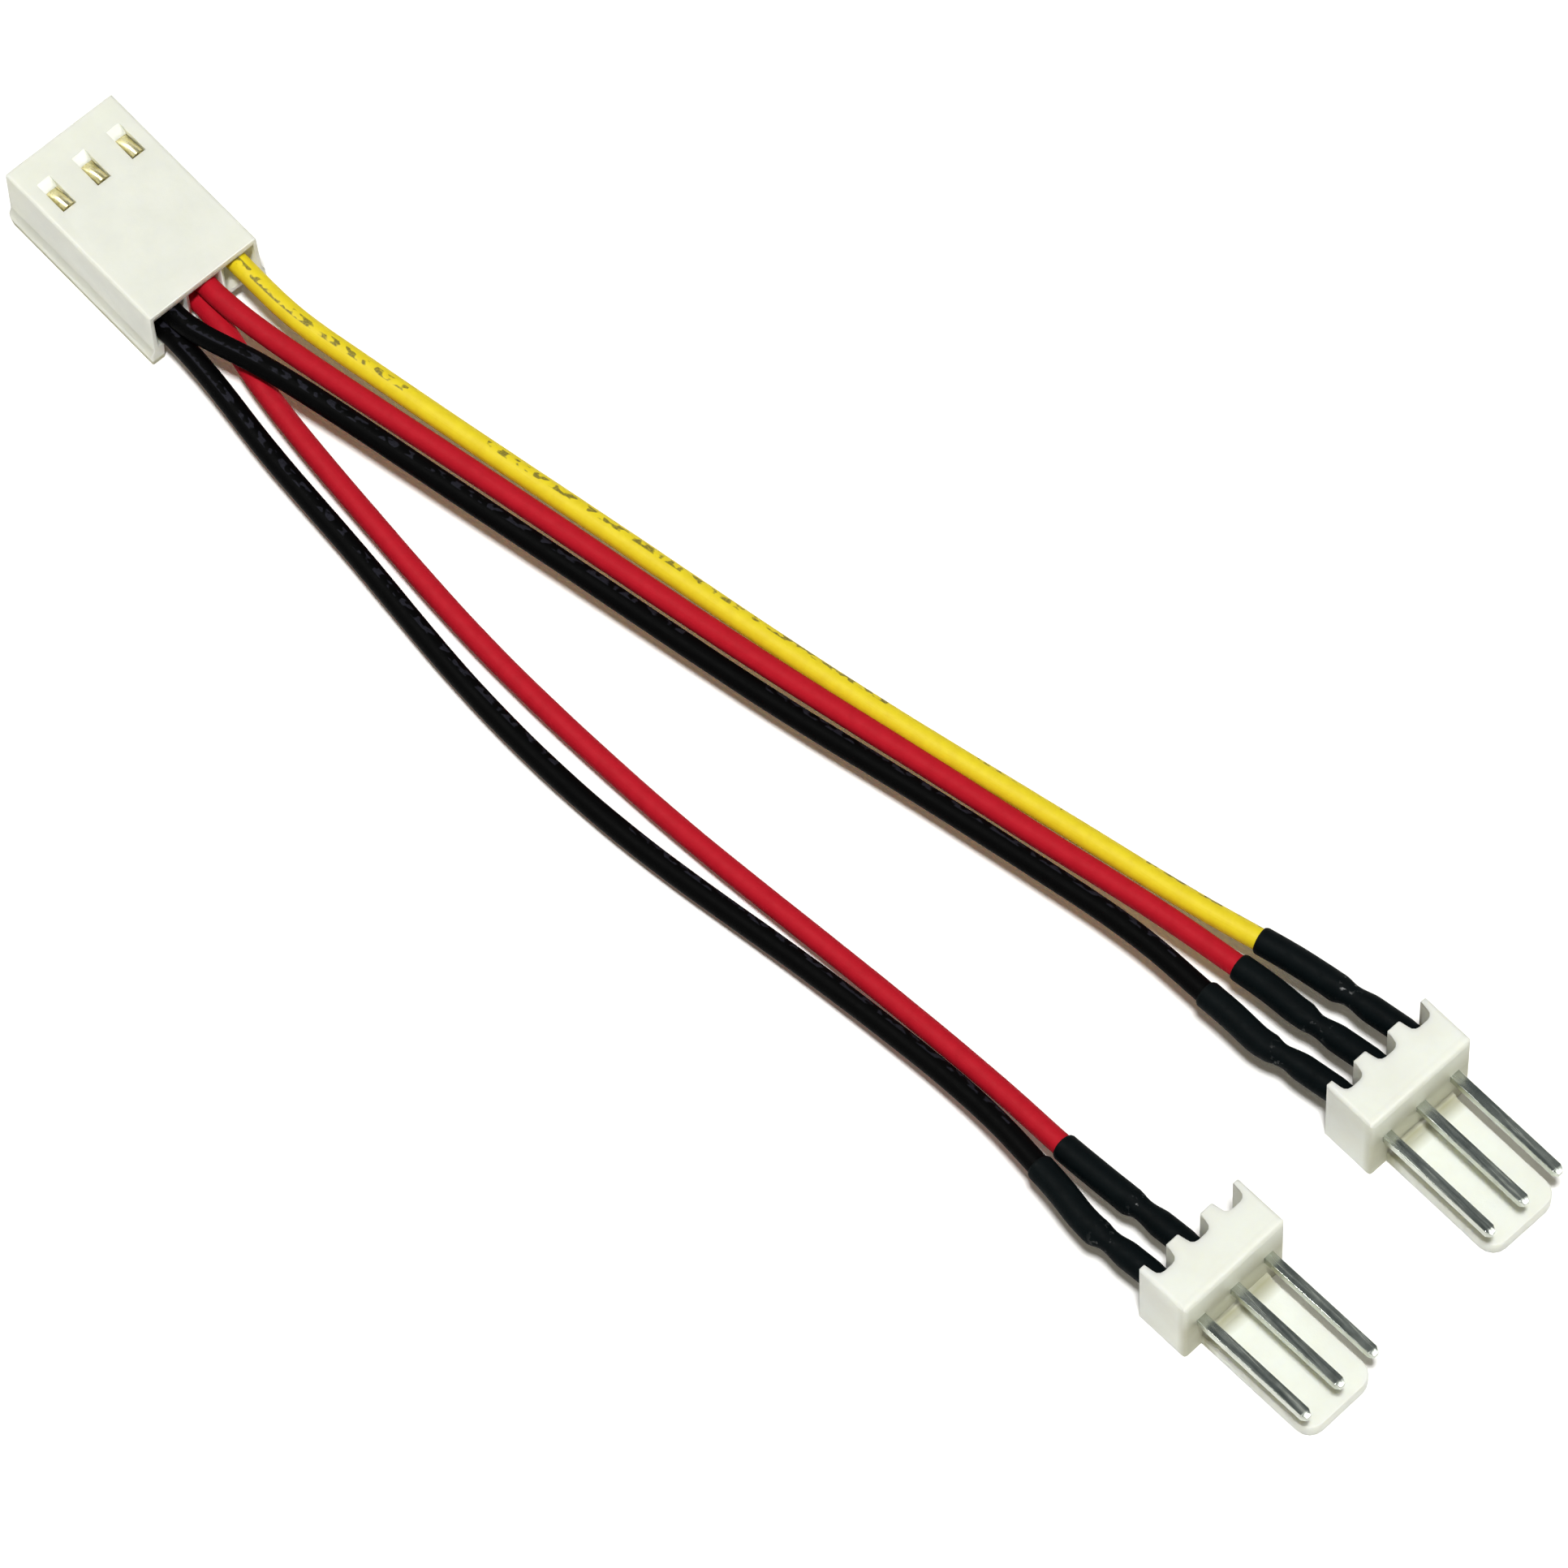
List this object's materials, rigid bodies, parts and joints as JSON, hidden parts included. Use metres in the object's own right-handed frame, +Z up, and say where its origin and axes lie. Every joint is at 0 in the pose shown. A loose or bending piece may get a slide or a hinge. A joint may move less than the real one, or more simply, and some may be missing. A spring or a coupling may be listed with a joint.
{
  "type": "fan splitter cable",
  "caption": "Fan splitter cable: a keyed female crimp connector feeds a pair of friction-lock pin headers through coloured wires with heat-shrunk solder joints",
  "frame": {"origin": "Bottom centre of the box round the connectors, on the surface that the cable lies on", "axes": "+X runs along the cable from the female connector to the header pins, +Y is to the left of that seen from above, +Z is up"},
  "size_m": [0.1046, 0.0252, 0.0062],
  "materials": {
    "pale_nylon": "satin moulded",
    "ivory_nylon": "satin moulded",
    "terminal_metal": "plated",
    "pin_metal": "tinned",
    "black_insulation": "semi-gloss",
    "red_insulation": "semi-gloss",
    "yellow_insulation": "semi-gloss",
    "shrink_tube": "semi-gloss",
    "strand_metal": "tinned",
    "solder": "bright"
  },
  "bodies": {
    "root": {"female_housing": "pale_nylon", "black_terminal": "terminal_metal", "red_terminal": "terminal_metal", "yellow_terminal": "terminal_metal", "right_header": "ivory_nylon", "right_black_pin": "pin_metal", "right_red_pin": "pin_metal", "right_yellow_pin": "pin_metal", "left_header": "ivory_nylon", "left_black_pin": "pin_metal", "left_red_pin": "pin_metal", "left_yellow_pin": "pin_metal", "yellow_wire": "yellow_insulation", "yellow_crimped_strands": "strand_metal", "yellow_soldered_strands": "strand_metal", "yellow_solder": "solder", "yellow_sleeve": "shrink_tube", "red_upper_wire": "red_insulation", "red_upper_crimped_strands": "strand_metal", "red_upper_soldered_strands": "strand_metal", "red_upper_solder": "solder", "red_upper_sleeve": "shrink_tube", "black_upper_wire": "black_insulation", "black_upper_crimped_strands": "strand_metal", "black_upper_soldered_strands": "strand_metal", "black_upper_solder": "solder", "black_upper_sleeve": "shrink_tube", "red_lower_wire": "red_insulation", "red_lower_crimped_strands": "strand_metal", "red_lower_soldered_strands": "strand_metal", "red_lower_solder": "solder", "red_lower_sleeve": "shrink_tube", "black_lower_wire": "black_insulation", "black_lower_crimped_strands": "strand_metal", "black_lower_soldered_strands": "strand_metal", "black_lower_solder": "solder", "black_lower_sleeve": "shrink_tube"}
  },
  "joints": []
}
